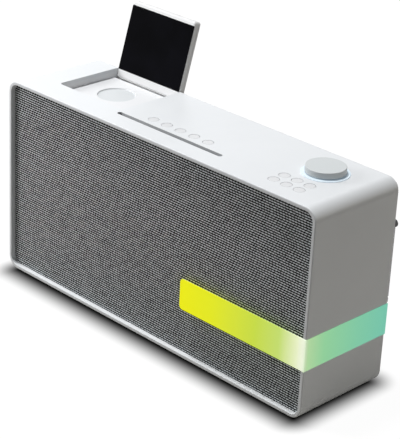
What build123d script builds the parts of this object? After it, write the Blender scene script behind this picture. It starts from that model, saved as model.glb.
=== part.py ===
from build123d import *
import math
import os

os.makedirs("parts", exist_ok=True)

# All-in-one stereo system with a vertical disc slot, a flip-up display and a push dial.
# Millimetres. +Z up, front faces -Y, +X to the right of someone facing it.
# The origin is on the table, under the middle of the whole object with its display open.

# Cabinet sleeve
cabinet_width = 360.0
cabinet_height = 180.0
cabinet_depth = 97.0
wall = 3.0
corner_radius = 11.0
front_edge_round = 1.0
rear_edge_round = 1.4
foot_height = 3.0
foot_radius = 7.0
foot_inset_x = 20.0
foot_inset_y = 13.0
display_overhang = 21.0
panel_gap = 0.3

# Grille, cloth and baffle
grille_recess = 4.6
cloth_thickness = 0.4
grille_frame_thickness = 2.2
grille_rim = 8.0
grille_rib = 5.0
baffle_thickness = 4.4
ledge_width = 5.0
ledge_thickness = 2.0
grille_peg_radius = 2.0
grille_peg_length = 4.0
peg_fit = 0.05

# Rear cover
cover_stand = 3.4
cover_thickness = 2.5
cover_rim_depth = 6.4
cover_rim_wall = 2.0
screw_radius = 1.5
screw_head_radius = 2.9
screw_head_height = 1.8
screw_length = 16.0
screw_fit = 0.02
screw_clear = 0.3
boss_radius = 4.0
boss_length = 12.7
boss_web = 3.0
boss_inset = 8.0

# Disc slot and disc mechanism
slot_length = 122.0
slot_width = 4.6
slot_inset = 20.9
disc_radius = 60.0
disc_side_gap = 1.2
disc_top_gap = 12.0
cavity_half_width = 3.2
chassis_sheet = 1.5
chassis_top_gap = 10.0
guide_bar_gap = 6.4
path_half_width = 2.2
roller_radius = 3.5
roller_waist_radius = 3.1
roller_shaft_radius = 1.5
roller_middle_gap = 8.0
roller_window = 10.4
running_fit = 0.05
feed_motor_radius = 5.5
feed_motor_length = 16.0
motor_hole_depth = 4.0

# Disc drive unit, which moves forward to take the disc
drive_lift = 4.6
drive_plate_width = 60.0
drive_plate_height = 92.0
drive_plate_gap = 0.8
drive_window_gap = 1.5
guide_pin_radius = 1.5
guide_pin_inset = 4.0
guide_bar_height = 5.0
spindle_motor_radius = 9.9
spindle_motor_depth = 7.4
spindle_flange_radius = 13.0
spindle_flange_thickness = 1.6
spindle_shaft_radius = 1.0
turntable_radius = 13.5
turntable_thickness = 1.8
turntable_boss_radius = 7.3
turntable_boss_height = 1.0
clamper_radius = 13.0
clamper_hub_radius = 10.0
clamper_play = 0.1
sled_travel = 27.0
sled_width = 29.0
sled_height = 12.0
sled_depth = 4.2
sled_first_radius = 25.0
lens_radius = 2.5
sled_rod_radius = 1.5
sled_rod_spacing = 22.0
lead_screw_offset = 20.0
lead_screw_radius = 1.5
sled_motor_radius = 6.0
sled_motor_length = 14.0
sled_motor_rise = 13.5
rod_overrun = 3.5
rod_block_width = 6.0
rod_block_height = 2.0
motor_bracket_width = 10.0
sled_window_width = 17.0
sled_nut_width = 9.0
sled_nut_height = 4.0
tower_width = 12.0
tower_height = 9.0
tower_reach = 2.0

# Display and its bay
bay_inset_x = 36.0
bay_width = 80.0
bay_depth = 8.0
bay_wall = 2.0
bay_corner_radius = 3.0
bay_trough_drop = 2.0
display_side_gap = 0.8
display_front_gap = 0.6
display_thickness = 7.6
display_length = 67.5
display_corner_radius = 2.5
display_wall = 1.5
display_round = 1.6
display_seam = 4.1
display_groove = 0.4
hinge_inset = 1.5
hinge_drop = 5.5
display_tail = 2.6
display_open_angle = 105.6
hinge_pin_radius = 1.0
hinge_pin_length = 6.5
glass_border = 0.4
glass_head = 3.8
glass_corner = 0.8
glass_thickness = 1.1
glass_foot = 5.0
lcd_thickness = 2.6
lcd_margin = 5.0
dish_shift = 5.0
dish_inset = 62.5
dish_radius = 17.0
dish_depth = 1.0

# Dial, its light ring and its encoder
dial_inset_x = 45.0
dial_inset = 60.5
dial_radius = 16.5
dial_height = 5.0
dial_lift = 1.4
dial_skin = 1.8
dial_edge_round = 0.7
dial_hub_radius = 4.6
dial_push = 0.5
ring_radius = 19.8
ring_height = 0.6
ring_plug_radius = 18.0
ring_bore_radius = 8.0
ring_fit = 0.1
encoder_shaft_radius = 3.0
encoder_side = 12.0
encoder_neck_radius = 4.4

# Push buttons
button_radius = 4.5
button_gap = 0.28
button_flange = 0.9
button_flange_thickness = 1.5
button_travel = 0.8
button_stem_radius = 1.5
transport_count = 5
transport_shift = 1.5
transport_inset = 33.0
transport_pitch = 16.0
preset_columns = 3
preset_inset_x = 48.5
preset_inset = 19.6
preset_pitch_x = 13.2
preset_pitch_y = 12.1

# Button board
board_thickness = 1.6
board_drop = 6.6
board_edge = 7.0
switch_side = 6.0
switch_height = 2.2
plunger_radius = 1.75
board_post_radius = 2.5

# Loudspeakers
speaker_inward = 4.85
speaker_drop = 3.0
speaker_hole_radius = 36.0
speaker_flange_radius = 42.0
speaker_flange_thickness = 2.2
speaker_depth = 24.9
basket_sheet = 1.6
basket_neck_radius = 18.0
basket_spokes = 4
magnet_radius = 24.0
magnet_length = 14.0
coil_radius = 9.0
coil_wall = 0.6
coil_gap = 0.5
coil_depth = 5.0
magnet_groove_depth = 8.0
cone_radius = 29.4
cone_rim = 2.4
cone_sheet = 0.5
cone_depth = 13.0
dust_cap_height = 3.5
cone_travel = 1.5
roll_width = 4.6
roll_sheet = 0.5
speaker_screw_radius = 1.3
speaker_screw_head = 2.5
speaker_screw_length = 6.0
speaker_screw_count = 4

# Electronics and sockets
main_board_width = 120.0
main_board_height = 100.0
main_board_drop = 3.0
board_grid = 2.0
main_post_inset = 5.0
main_board_gap = 11.8
supply_inset_x = 58.0
supply_width = 84.0
supply_depth = 26.0
supply_inset = 56.5
supply_board_lift = 3.0
supply_post_radius = 3.0
supply_post_inset = 4.0
supply_edge_gap = 1.5
transformer_width = 26.0
transformer_height = 22.0
supply_can_radius = 6.5
supply_can_height = 20.0
heat_sink_width = 10.0
heat_sink_height = 15.0
heat_sink_inset = 12.0
inlet_inset_x = 50.0
inlet_rise = 25.0
inlet_width = 15.6
inlet_height = 7.8
inlet_depth = 14.0
inlet_pin_radius = 1.2
inlet_pin_length = 9.0
inlet_pin_spacing = 8.6
socket_proud = 0.3
jack_inset_x = 96.0
jack_rise = 37.0
jack_bore_radius = 1.8
jack_bore_depth = 14.0
jack_collar_radius = 3.5
jack_body_side = 10.0
socket_fit = 0.05

# Telescopic aerial, folded down behind the right edge
aerial_inset_x = 8.5
aerial_drop = 43.0
aerial_stand = 3.9
aerial_length = 69.0
knuckle_radius = 3.4
knuckle_slot = 2.6
lug_width = 2.4
lug_radius = 2.3
knuckle_pin_radius = 0.9
stub_radius = 2.0
tube_radius = 2.5
tube_bore = 2.05
middle_radius = 2.0
middle_bore = 1.55
tip_radius = 1.5
tip_button_length = 4.0
section_step = 1.5

# Printed band around the front right corner
band_front_run = 137.5
band_rise = 44.8
band_height = 27.6
band_thickness = 0.4
band_corner_radius = 3.5

# Planes and levels worked out from the sizes above
front_y = -(cabinet_depth + display_overhang) / 2
back_y = front_y + cabinet_depth
middle_y = front_y + cabinet_depth / 2
side_x = cabinet_width / 2
base_z = foot_height
top_z = foot_height + cabinet_height
mid_z = foot_height + cabinet_height / 2
under_top_z = top_z - wall
floor_z = base_z + wall
inner_width = cabinet_width - 2 * wall
inner_height = cabinet_height - 2 * wall
inner_radius = corner_radius - wall
panel_width = inner_width - 2 * panel_gap
panel_height = inner_height - 2 * panel_gap
panel_radius = inner_radius - panel_gap

cloth_front_y = front_y + grille_recess
frame_front_y = cloth_front_y + cloth_thickness
baffle_front_y = frame_front_y + grille_frame_thickness
baffle_back_y = baffle_front_y + baffle_thickness
cover_back_y = back_y + cover_stand
cover_front_y = cover_back_y - cover_thickness
cover_rim_front_y = cover_front_y - cover_rim_depth
boss_back_y = cover_rim_front_y - panel_gap
slot_y = front_y + slot_inset
transport_y = front_y + transport_inset
preset_front_y = front_y + preset_inset
dial_y = front_y + dial_inset
dish_y = front_y + dish_inset
bay_x = -side_x + bay_inset_x + bay_width / 2
dish_x = bay_x - dish_shift
dial_x = side_x - dial_inset_x
preset_x = side_x - preset_inset_x
chassis_half = disc_radius + disc_side_gap + chassis_sheet
speaker_x = (chassis_half + inner_width / 2) / 2 - speaker_inward
speaker_z = mid_z - speaker_drop
main_board_z = mid_z - main_board_drop
supply_x = side_x - supply_inset_x
inlet_x = side_x - inlet_inset_x
inlet_z = base_z + inlet_rise
jack_x = side_x - jack_inset_x
jack_z = base_z + jack_rise
aerial_x = side_x - aerial_inset_x
aerial_z = top_z - aerial_drop
band_left_x = side_x - band_front_run
band_base_z = base_z + band_rise


def save(builder, name):
    """Label a finished piece and write its file."""
    builder.part.label = name
    export_step(builder.part, f"parts/{name}.step")


def facing_front(y):
    """Upright sketch plane at depth y: local x is X, local y is Z, extrusions run to the front."""
    return Plane.XZ.offset(-y)


def level(z):
    """Flat sketch plane at height z, extrusions run upwards."""
    return Plane.XY.offset(z)


def facing_right(x):
    """Upright sketch plane at width x: local x is Y, local y is Z, extrusions run to the right."""
    return Plane.YZ.offset(x)


# Places of the repeated controls and screws
transport_spots = [
    (transport_shift + (i - (transport_count - 1) / 2) * transport_pitch, transport_y)
    for i in range(transport_count)
]
preset_spots = [
    (preset_x + (column - (preset_columns - 1) / 2) * preset_pitch_x, preset_front_y + row * preset_pitch_y)
    for row in (0, 1)
    for column in range(preset_columns)
]
button_spots = transport_spots + preset_spots
boss_x = inner_width / 2 - boss_inset
boss_low_z = floor_z + boss_inset
boss_high_z = under_top_z - boss_inset
boss_spots = [(x, z) for x in (-boss_x, 0, boss_x) for z in (boss_low_z, boss_high_z)]

# Bay outline in plan
bay_front_y = back_y - hinge_inset - display_length - display_front_gap
bay_left_x = bay_x - bay_width / 2
bay_right_x = bay_x + bay_width / 2
bay_floor_z = top_z - bay_depth
hinge_y = back_y - hinge_inset
hinge_z = top_z - hinge_drop
display_width = bay_width - 2 * display_side_gap


def bay_outline(grow, back):
    """Plan of the display bay, grown sideways and to the front, with round front corners."""
    front = bay_front_y - grow
    radius = bay_corner_radius + grow
    with Locations((bay_x, (front + back) / 2)):
        RectangleRounded(bay_width + 2 * grow, back - front, radius)
    with Locations((bay_x, back - radius)):
        Rectangle(bay_width + 2 * grow, 2 * radius)


# Cabinet sleeve: one moulded tube, open at the front and the back
with BuildPart() as cabinet_sleeve:
    with BuildSketch(facing_front(back_y)):
        with Locations((0, mid_z)):
            RectangleRounded(cabinet_width, cabinet_height, corner_radius)
            RectangleRounded(inner_width, inner_height, inner_radius, mode=Mode.SUBTRACT)
    extrude(amount=cabinet_depth)
    outer = cabinet_sleeve.faces().filter_by(Axis.Y)
    fillet(outer.sort_by(Axis.Y)[0].outer_wire().edges(), front_edge_round)
    outer = cabinet_sleeve.faces().filter_by(Axis.Y)
    fillet(outer.sort_by(Axis.Y)[-1].outer_wire().edges(), rear_edge_round)
    # Ledge that the baffle seats against
    with BuildSketch(facing_front(baffle_back_y + ledge_thickness)):
        with Locations((0, mid_z)):
            RectangleRounded(inner_width + wall, inner_height + wall, inner_radius)
            ledge_radius = max(inner_radius - ledge_width, wall)
            RectangleRounded(inner_width - 2 * ledge_width, inner_height - 2 * ledge_width, ledge_radius,
                             mode=Mode.SUBTRACT)
    extrude(amount=ledge_thickness)
    # Screw bosses for the rear cover, each tied to the walls by webs
    with BuildSketch(facing_front(boss_back_y)):
        with Locations(*boss_spots):
            Circle(boss_radius)
        for x, z in boss_spots:
            reach = boss_inset + wall / 2
            to_wall = 1 if z > mid_z else -1
            with Locations((x, z + to_wall * reach / 2)):
                Rectangle(boss_web, reach)
            if x != 0:
                to_side = math.copysign(1, x)
                with Locations((x + to_side * reach / 2, z)):
                    Rectangle(reach, boss_web)
    extrude(amount=boss_length)
    with BuildSketch(facing_front(boss_back_y)):
        with Locations(*boss_spots):
            Circle(screw_radius + screw_fit)
    extrude(amount=boss_length - wall, mode=Mode.SUBTRACT)
    # Posts that hold the button board under the top wall
    post_spots = [
        (transport_spots[0][0] - button_radius, transport_y + board_edge + 2),
        ((transport_spots[-1][0] + preset_spots[0][0]) / 2, transport_y),
        (preset_spots[0][0] - board_edge - 4, dial_y + dial_radius),
        (preset_spots[2][0] + board_edge + 4, dial_y + dial_radius),
    ]
    with BuildSketch(level(under_top_z + wall / 2)):
        with Locations(*post_spots):
            Circle(board_post_radius)
    extrude(amount=-(board_drop + wall / 2))
    # Openings in the top wall: disc slot, buttons, dial and display bay
    with BuildSketch(level(under_top_z - 1)):
        with Locations((0, slot_y)):
            SlotOverall(slot_length, slot_width)
        with Locations(*button_spots):
            Circle(button_radius + button_gap)
        with Locations((dial_x, dial_y)):
            Circle(ring_plug_radius + ring_fit)
    extrude(amount=wall + 2, mode=Mode.SUBTRACT)
    with BuildSketch(level(under_top_z - 1)):
        bay_outline(0, back_y + 1)
    extrude(amount=wall + 2, mode=Mode.SUBTRACT)
save(cabinet_sleeve, "cabinet_sleeve")

# Four rubber feet under the sleeve
with BuildPart() as rubber_feet:
    with BuildSketch(level(0)):
        with Locations((0, middle_y)):
            with GridLocations(cabinet_width - 2 * foot_inset_x, cabinet_depth - 2 * foot_inset_y, 2, 2):
                Circle(foot_radius)
    extrude(amount=foot_height, taper=6)
save(rubber_feet, "rubber_feet")

# Front baffle with the two loudspeaker holes and the posts that carry the disc mechanism
disc_z = top_z - wall - disc_top_gap - chassis_top_gap - disc_radius
chassis_top_z = under_top_z - chassis_top_gap
chassis_base_z = disc_z - disc_radius - disc_side_gap - chassis_sheet
cavity_front_y = slot_y - cavity_half_width
cavity_back_y = slot_y + cavity_half_width
clamp_front_y = cavity_front_y - chassis_sheet
peg_spots = [(x * (panel_width / 2 - grille_rim), mid_z + z * (panel_height - grille_rim) / 2)
             for x in (-1, 0, 1) for z in (-1, 1)]
mech_posts = [(x * (chassis_half - 5), z) for x in (-1, 1) for z in (chassis_base_z + 6, chassis_top_z - 6)]
speaker_spots = [(-speaker_x, speaker_z), (speaker_x, speaker_z)]
speaker_screw_ring = (speaker_hole_radius + speaker_flange_radius) / 2
speaker_screw_depth = speaker_screw_length - speaker_flange_thickness
with BuildPart() as front_baffle:
    with BuildSketch(facing_front(baffle_back_y)):
        with Locations((0, mid_z)):
            RectangleRounded(panel_width, panel_height, panel_radius)
        with Locations(*speaker_spots):
            Circle(speaker_hole_radius, mode=Mode.SUBTRACT)
        with Locations(*peg_spots):
            Circle(grille_peg_radius + peg_fit, mode=Mode.SUBTRACT)
    extrude(amount=baffle_thickness)
    with BuildSketch(facing_front(clamp_front_y)):
        with Locations(*mech_posts):
            Circle(3)
    extrude(amount=clamp_front_y - baffle_back_y)
    with BuildSketch(facing_front(baffle_back_y)):
        for spot in speaker_spots:
            with Locations(spot):
                with PolarLocations(speaker_screw_ring, speaker_screw_count, start_angle=45):
                    Circle(speaker_screw_radius + screw_fit)
    extrude(amount=speaker_screw_depth + 0.2, mode=Mode.SUBTRACT)
save(front_baffle, "front_baffle")

# Grille frame with two ribs and six push-in pegs
with BuildPart() as grille_frame:
    with BuildSketch(facing_front(baffle_front_y)):
        with Locations((0, mid_z)):
            RectangleRounded(panel_width, panel_height, panel_radius)
            RectangleRounded(panel_width - 2 * grille_rim, panel_height - 2 * grille_rim, wall,
                             mode=Mode.SUBTRACT)
            with GridLocations(panel_width / 3, 0, 2, 1):
                Rectangle(grille_rib, panel_height - grille_rim)
            Rectangle(panel_width - grille_rim, grille_rib)
    extrude(amount=grille_frame_thickness)
    with BuildSketch(facing_front(baffle_front_y + grille_peg_length)):
        with Locations(*peg_spots):
            Circle(grille_peg_radius)
    extrude(amount=grille_peg_length)
save(grille_frame, "grille_frame")

# Woven cloth stretched over the grille frame
with BuildPart() as grille_cloth:
    with BuildSketch(facing_front(frame_front_y)):
        with Locations((0, mid_z)):
            RectangleRounded(panel_width, panel_height, panel_radius)
    extrude(amount=cloth_thickness)
save(grille_cloth, "grille_cloth")

# Rear cover: a shallow tray that closes the sleeve, notched for the display
notch_half = bay_width / 2 + bay_wall + 1
notch_z = top_z - bay_depth - bay_trough_drop - bay_wall - panel_gap
bore_y = cover_back_y + socket_proud
stub_bush_radius = 7.0
stub_bush_length = 5.0
with BuildPart() as rear_cover:
    with BuildSketch(facing_front(cover_back_y)):
        with Locations((0, mid_z)):
            RectangleRounded(panel_width, panel_height, panel_radius)
    extrude(amount=cover_thickness + cover_rim_depth)
    fillet(rear_cover.faces().sort_by(Axis.Y)[-1].edges(), 0.8)
    with BuildSketch(facing_front(cover_front_y)):
        with Locations((0, mid_z)):
            RectangleRounded(panel_width - 2 * cover_rim_wall, panel_height - 2 * cover_rim_wall,
                             panel_radius - cover_rim_wall)
    extrude(amount=cover_rim_depth, mode=Mode.SUBTRACT)
    # Posts for the screws, the main board and the aerial's bush
    with BuildSketch(facing_front(cover_front_y)):
        with Locations(*boss_spots):
            Circle(boss_radius + 0.5)
    extrude(amount=cover_front_y - boss_back_y)
    board_posts = [(x * (main_board_width / 2 - main_post_inset),
                    main_board_z + z * (main_board_height / 2 - main_post_inset))
                   for x in (-1, 1) for z in (-1, 1)]
    with BuildSketch(facing_front(cover_front_y)):
        with Locations(*board_posts):
            Circle(3)
    extrude(amount=main_board_gap)
    with BuildSketch(facing_front(cover_front_y)):
        with Locations((aerial_x - 2, aerial_z)):
            Circle(stub_bush_radius - 2)
    extrude(amount=stub_bush_length)
    # Notch that the display swings through
    with BuildSketch(facing_front(cover_back_y + 1)):
        with Locations((bay_x, (notch_z + top_z) / 2)):
            Rectangle(2 * notch_half, top_z - notch_z)
    extrude(amount=cover_thickness + cover_rim_depth + 2, mode=Mode.SUBTRACT)
    # Screw holes with recessed heads
    with BuildSketch(facing_front(cover_back_y + 1)):
        with Locations(*boss_spots):
            Circle(screw_radius + screw_clear)
    extrude(amount=cover_back_y + 1 - boss_back_y + 1, mode=Mode.SUBTRACT)
    with BuildSketch(facing_front(cover_back_y + 1)):
        with Locations(*boss_spots):
            Circle(screw_head_radius + screw_clear)
    extrude(amount=1 + screw_head_height + 0.2, mode=Mode.SUBTRACT)
    # Holes for the inlet, the jack and the aerial's stub
    with BuildSketch(facing_front(cover_back_y + 1)):
        with Locations((inlet_x, inlet_z)):
            RectangleRounded(inlet_width + 2 * wall - 1, inlet_height + 2 * wall - 1, 2)
        with Locations((jack_x, jack_z)):
            Circle(jack_collar_radius + socket_fit)
        with Locations((aerial_x, aerial_z)):
            Circle(stub_radius + running_fit)
    extrude(amount=cover_thickness + stub_bush_length + 2, mode=Mode.SUBTRACT)
save(rear_cover, "rear_cover")

# Six screws through the rear cover
screw_seat_y = cover_back_y - screw_head_height - 0.2
with BuildPart() as rear_cover_screws:
    with BuildSketch(facing_front(screw_seat_y + screw_head_height)):
        with Locations(*boss_spots):
            Circle(screw_head_radius)
    extrude(amount=screw_head_height)
    with BuildSketch(facing_front(screw_seat_y)):
        with Locations(*boss_spots):
            Circle(screw_radius)
    extrude(amount=screw_length)
    with BuildSketch(facing_front(screw_seat_y + screw_head_height)):
        with Locations(*boss_spots):
            Rectangle(screw_head_radius * 1.2, 0.6)
            Rectangle(0.6, screw_head_radius * 1.2)
    extrude(amount=1.0, mode=Mode.SUBTRACT)
save(rear_cover_screws, "rear_cover_screws")

# Display bay: a tub under the top wall, open at the back for the display to swing through
tub_base_z = bay_floor_z - bay_wall
trough_z = bay_floor_z - bay_trough_drop
trough_y = hinge_y - 4.4
tub_back_y = cover_front_y - 0.1
with BuildPart() as display_bay:
    with BuildSketch(level(tub_base_z)):
        bay_outline(bay_wall, tub_back_y)
    extrude(amount=under_top_z - tub_base_z)
    with BuildSketch(level(bay_floor_z)):
        bay_outline(0, tub_back_y + 1)
    extrude(amount=bay_depth, mode=Mode.SUBTRACT)
    # Deeper trough under the hinge
    with BuildSketch(level(trough_z - bay_wall)):
        with Locations((bay_x, (trough_y - bay_wall + tub_back_y) / 2)):
            Rectangle(bay_width + 2 * bay_wall, tub_back_y - trough_y + bay_wall)
    extrude(amount=tub_base_z - trough_z + bay_wall)
    with BuildSketch(level(trough_z)):
        with Locations((bay_x, (trough_y + tub_back_y + 1) / 2)):
            Rectangle(bay_width, tub_back_y + 1 - trough_y)
    extrude(amount=bay_depth, mode=Mode.SUBTRACT)
    # Shallow round dish in the floor
    with BuildSketch(level(bay_floor_z)):
        with Locations((dish_x, dish_y)):
            Circle(dish_radius)
    extrude(amount=-dish_depth, taper=30, mode=Mode.SUBTRACT)
    # Bores for the hinge pins
    with BuildSketch(facing_right(bay_left_x - bay_wall - 1)):
        with Locations((hinge_y, hinge_z)):
            Circle(hinge_pin_radius + screw_fit)
    extrude(amount=bay_width + 2 * bay_wall + 2, mode=Mode.SUBTRACT)
save(display_bay, "display_bay")

# Display, modelled open: local x is X, local y runs down the panel to the hinge and past it,
# and the plane's normal points out of its white back
open_turn = math.radians(display_open_angle)
panel_normal = (0, math.sin(open_turn), math.cos(open_turn))


def panel_plane(w):
    """Sketch plane on the open display, w above the hinge axis on its white side."""
    return Plane(origin=(bay_x, hinge_y, hinge_z), x_dir=(1, 0, 0), z_dir=panel_normal).offset(w)


back_face_w = hinge_drop
screen_face_w = hinge_drop - display_thickness
panel_middle = (display_tail - display_length) / 2
panel_size = display_length + display_tail
glass_length = display_length - glass_foot - glass_head
glass_middle = -(glass_foot + glass_length / 2)
lcd_back_w = screen_face_w + glass_thickness + lcd_thickness
with BuildPart() as display_back_cover:
    with BuildSketch(panel_plane(screen_face_w)):
        with Locations((0, panel_middle)):
            RectangleRounded(display_width, panel_size, display_corner_radius)
    extrude(amount=display_thickness)
    tail_edges = display_back_cover.edges().filter_by(Axis.X).group_by(Axis.Z)[1]
    back_face = display_back_cover.faces().sort_by(Axis((0, 0, 0), panel_normal))[-1]
    fillet([*tail_edges, *back_face.outer_wire().edges()], display_round)
    # Pocket for the glass, then the hollow behind it
    with BuildSketch(panel_plane(screen_face_w)):
        with Locations((0, glass_middle)):
            RectangleRounded(display_width - 2 * glass_border, glass_length, glass_corner)
    extrude(amount=glass_thickness, mode=Mode.SUBTRACT)
    with BuildSketch(panel_plane(screen_face_w + glass_thickness)):
        with Locations((0, glass_middle)):
            Rectangle(display_width - 4 * display_wall, glass_length - 2 * display_wall)
    extrude(amount=display_thickness - glass_thickness - display_wall, mode=Mode.SUBTRACT)
    # Parting groove all round, between the front and the back of the moulding
    with BuildSketch(panel_plane(screen_face_w + display_seam)):
        with Locations((0, panel_middle)):
            Rectangle(display_width + 1, panel_size + 1)
            RectangleRounded(display_width - 2 * display_groove, panel_size - 2 * display_groove,
                             display_corner_radius - display_groove, mode=Mode.SUBTRACT)
    extrude(amount=display_groove, mode=Mode.SUBTRACT)
    # Posts that hold the display module against the glass
    with BuildSketch(panel_plane(lcd_back_w)):
        with Locations((0, glass_middle)):
            with GridLocations(display_width - 6 * lcd_margin, glass_length - 6 * lcd_margin, 2, 2):
                Circle(1.8)
    extrude(amount=back_face_w - display_wall / 2 - lcd_back_w)
    # Bores for the hinge pins
    with BuildSketch(facing_right(bay_x - bay_width / 2)):
        with Locations((hinge_y, hinge_z)):
            Circle(hinge_pin_radius + running_fit)
    extrude(amount=bay_width, mode=Mode.SUBTRACT)
save(display_back_cover, "display_back_cover")

with BuildPart() as display_glass:
    with BuildSketch(panel_plane(screen_face_w)):
        with Locations((0, glass_middle)):
            RectangleRounded(display_width - 2 * glass_border, glass_length, glass_corner)
    extrude(amount=glass_thickness)
save(display_glass, "display_glass")

with BuildPart() as lcd_panel:
    with BuildSketch(panel_plane(screen_face_w + glass_thickness)):
        with Locations((0, glass_middle)):
            Rectangle(display_width - 2 * lcd_margin, glass_length - lcd_margin)
    extrude(amount=lcd_thickness)
save(lcd_panel, "lcd_panel")

# Two hinge pins, pressed into the bay's side walls
with BuildPart() as display_hinge_pins:
    with BuildSketch(facing_right(bay_left_x - bay_wall)):
        with Locations((hinge_y, hinge_z)):
            Circle(hinge_pin_radius)
    extrude(amount=hinge_pin_length)
    with BuildSketch(facing_right(bay_right_x + bay_wall)):
        with Locations((hinge_y, hinge_z)):
            Circle(hinge_pin_radius)
    extrude(amount=-hinge_pin_length)
save(display_hinge_pins, "display_hinge_pins")

# Light ring around the dial
dial_spot = (dial_x, dial_y)
dial_base_z = top_z + dial_lift
dial_top_z = dial_base_z + dial_height
with BuildPart() as light_ring:
    with BuildSketch(level(under_top_z)):
        with Locations(dial_spot):
            Circle(ring_plug_radius)
    extrude(amount=wall)
    with BuildSketch(level(top_z)):
        with Locations(dial_spot):
            Circle(ring_radius)
    extrude(amount=ring_height)
    fillet(light_ring.faces().sort_by(Axis.Z)[-1].edges(), ring_height * 0.6)
    with BuildSketch(level(under_top_z - 1)):
        with Locations(dial_spot):
            Circle(ring_bore_radius)
    extrude(amount=wall + ring_height + 2, mode=Mode.SUBTRACT)
save(light_ring, "light_ring")

# Dial: a hollow cap with a hub on the encoder shaft
shaft_base_z = under_top_z - 3.5
with BuildPart() as volume_dial:
    with BuildSketch(level(dial_base_z)):
        with Locations(dial_spot):
            Circle(dial_radius)
    extrude(amount=dial_height)
    fillet(volume_dial.faces().sort_by(Axis.Z)[-1].edges(), dial_edge_round)
    with BuildSketch(level(dial_base_z)):
        with Locations(dial_spot):
            Circle(dial_radius - dial_skin)
    extrude(amount=dial_height - dial_skin, mode=Mode.SUBTRACT)
    with BuildSketch(level(under_top_z + 1)):
        with Locations(dial_spot):
            Circle(dial_hub_radius)
    extrude(amount=dial_top_z - dial_skin / 2 - under_top_z - 1)
    with BuildSketch(level(under_top_z)):
        with Locations(dial_spot):
            Circle(encoder_shaft_radius + screw_fit)
    extrude(amount=dial_top_z - dial_skin - under_top_z, mode=Mode.SUBTRACT)
save(volume_dial, "volume_dial")

board_top_z = under_top_z - board_drop
board_base_z = board_top_z - board_thickness
encoder_floor_z = board_top_z + 0.4
plunger_top_z = shaft_base_z
with BuildPart() as encoder_shaft:
    with BuildSketch(level(shaft_base_z)):
        with Locations(dial_spot):
            Circle(encoder_shaft_radius)
    extrude(amount=dial_top_z - dial_skin - shaft_base_z)
save(encoder_shaft, "encoder_shaft")

# Small plunger under the shaft that works the push switch
plunger_height = plunger_top_z - encoder_floor_z - dial_push - 0.3
with BuildPart() as encoder_plunger:
    with BuildSketch(level(plunger_top_z)):
        with Locations(dial_spot):
            Circle(encoder_shaft_radius - 0.1)
    extrude(amount=-plunger_height)
save(encoder_plunger, "encoder_plunger")

with BuildPart() as encoder_body:
    with BuildSketch(level(board_top_z)):
        with Locations(dial_spot):
            RectangleRounded(encoder_side, encoder_side, 1)
    extrude(amount=under_top_z - 2.5 - board_top_z)
    with BuildSketch(level(board_top_z)):
        with Locations(dial_spot):
            Circle(encoder_neck_radius)
    extrude(amount=under_top_z - board_top_z)
    with BuildSketch(level(encoder_floor_z)):
        with Locations(dial_spot):
            Circle(encoder_shaft_radius + running_fit)
    extrude(amount=under_top_z - encoder_floor_z + 1, mode=Mode.SUBTRACT)
save(encoder_body, "encoder_body")

# Push buttons: a round cap, a flange that stops under the top wall, and a stem
stem_base_z = board_top_z + switch_height + plunger_radius * 0.6 + button_travel + 0.1


def push_button(spot):
    """One flush round button."""
    with BuildPart() as button:
        with BuildSketch(level(under_top_z - button_flange_thickness)):
            with Locations(spot):
                Circle(button_radius)
        extrude(amount=wall + button_flange_thickness)
        fillet(button.faces().sort_by(Axis.Z)[-1].edges(), 0.3)
        with BuildSketch(level(under_top_z - button_flange_thickness)):
            with Locations(spot):
                Circle(button_radius + button_flange)
        extrude(amount=button_flange_thickness)
        with BuildSketch(level(stem_base_z)):
            with Locations(spot):
                Circle(button_stem_radius)
        extrude(amount=under_top_z - stem_base_z)
    return button


for number, spot in enumerate(transport_spots, start=1):
    save(push_button(spot), f"transport_button_{number}")
for number, spot in enumerate(preset_spots, start=1):
    save(push_button(spot), f"preset_button_{number}")

# Button board with one switch under each button
board_left = transport_spots[0][0] - board_edge
board_right = preset_spots[2][0] + 2 * board_edge
board_back = dial_y + dial_radius + 3
strip_front = transport_y - board_edge + 1
strip_back = transport_y + board_edge + 5
block_left = preset_spots[0][0] - 2 * board_edge
block_front = preset_front_y - board_edge + 2.5
with BuildPart() as button_board:
    with BuildSketch(level(board_base_z)):
        with Locations(((board_left + board_right) / 2, (strip_front + strip_back) / 2)):
            Rectangle(board_right - board_left, strip_back - strip_front)
        with Locations(((block_left + board_right) / 2, (block_front + board_back) / 2)):
            Rectangle(board_right - block_left, board_back - block_front)
    extrude(amount=board_thickness)
    with BuildSketch(level(board_top_z)):
        with Locations(*button_spots):
            Rectangle(switch_side, switch_side)
    extrude(amount=switch_height)
    with BuildSketch(level(board_top_z + switch_height)):
        with Locations(*button_spots):
            Circle(plunger_radius)
    extrude(amount=plunger_radius * 0.6)
save(button_board, "button_board")

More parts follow.
